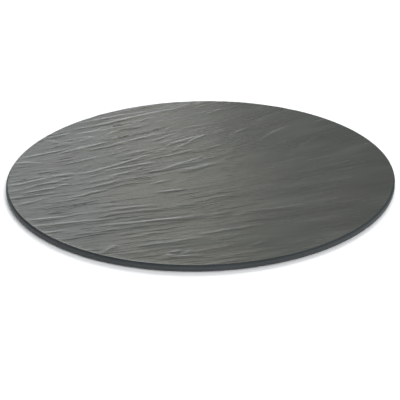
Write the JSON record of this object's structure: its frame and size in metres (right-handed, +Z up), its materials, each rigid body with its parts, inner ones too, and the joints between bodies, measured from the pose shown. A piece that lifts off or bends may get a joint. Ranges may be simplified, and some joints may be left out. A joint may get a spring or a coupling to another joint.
{
  "type": "display tray",
  "caption": "Thin round display tray with a riven slate-look face, a smooth rounded rim and low elastomer feet seated in its underside.",
  "frame": {"origin": "centre of the tray on the surface that its feet stand on", "axes": "+Z up through the tray, +X to the right and +Y to the back as the picture shows it"},
  "size_m": [0.43, 0.43, 0.0084],
  "materials": {
    "moulding": "satin melamine, riven slate relief on top, smooth rim",
    "foot": "matt black elastomer",
    "adhesive": "translucent acrylic adhesive"
  },
  "bodies": {
    "root": {"tray_body": "moulding", "foot_1": "foot", "foot_2": "foot", "foot_3": "foot", "foot_4": "foot", "foot_5": "foot", "foot_6": "foot", "adhesive_disc_1": "adhesive", "adhesive_disc_2": "adhesive", "adhesive_disc_3": "adhesive", "adhesive_disc_4": "adhesive", "adhesive_disc_5": "adhesive", "adhesive_disc_6": "adhesive"}
  },
  "joints": []
}
